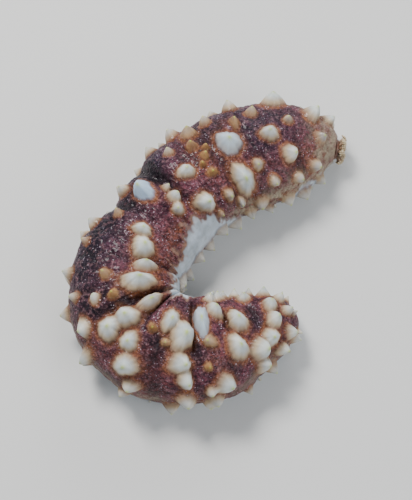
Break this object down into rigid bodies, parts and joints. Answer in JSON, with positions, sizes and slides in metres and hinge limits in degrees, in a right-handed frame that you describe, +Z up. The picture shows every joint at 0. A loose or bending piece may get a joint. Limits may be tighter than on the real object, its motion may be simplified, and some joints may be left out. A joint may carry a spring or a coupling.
{
  "type": "sea cucumber",
  "caption": "Sea cucumber lying curled in a C, with a flattened tube body, conical pale warts, tube feet under a flat sole and short feeding tentacles.",
  "frame": {"origin": "middle of the whole animal's box, on the floor it lies on", "axes": "+Z up, +X from the closed side of the C to its open side, +Y from the arm with the vent to the arm with the mouth"},
  "size_m": [0.0734, 0.085, 0.0242],
  "materials": {
    "skin": "wet satin",
    "tentacles": "wet satin"
  },
  "bodies": {
    "root": {"mouth_end": "skin", "fore_back": "skin", "shoulder": "skin", "fore_middle": "skin", "hind_middle": "skin", "fore_bend": "skin", "hind_bend": "skin", "hind_back": "skin", "vent_end": "skin", "feeding_tentacles": "tentacles"}
  },
  "joints": []
}
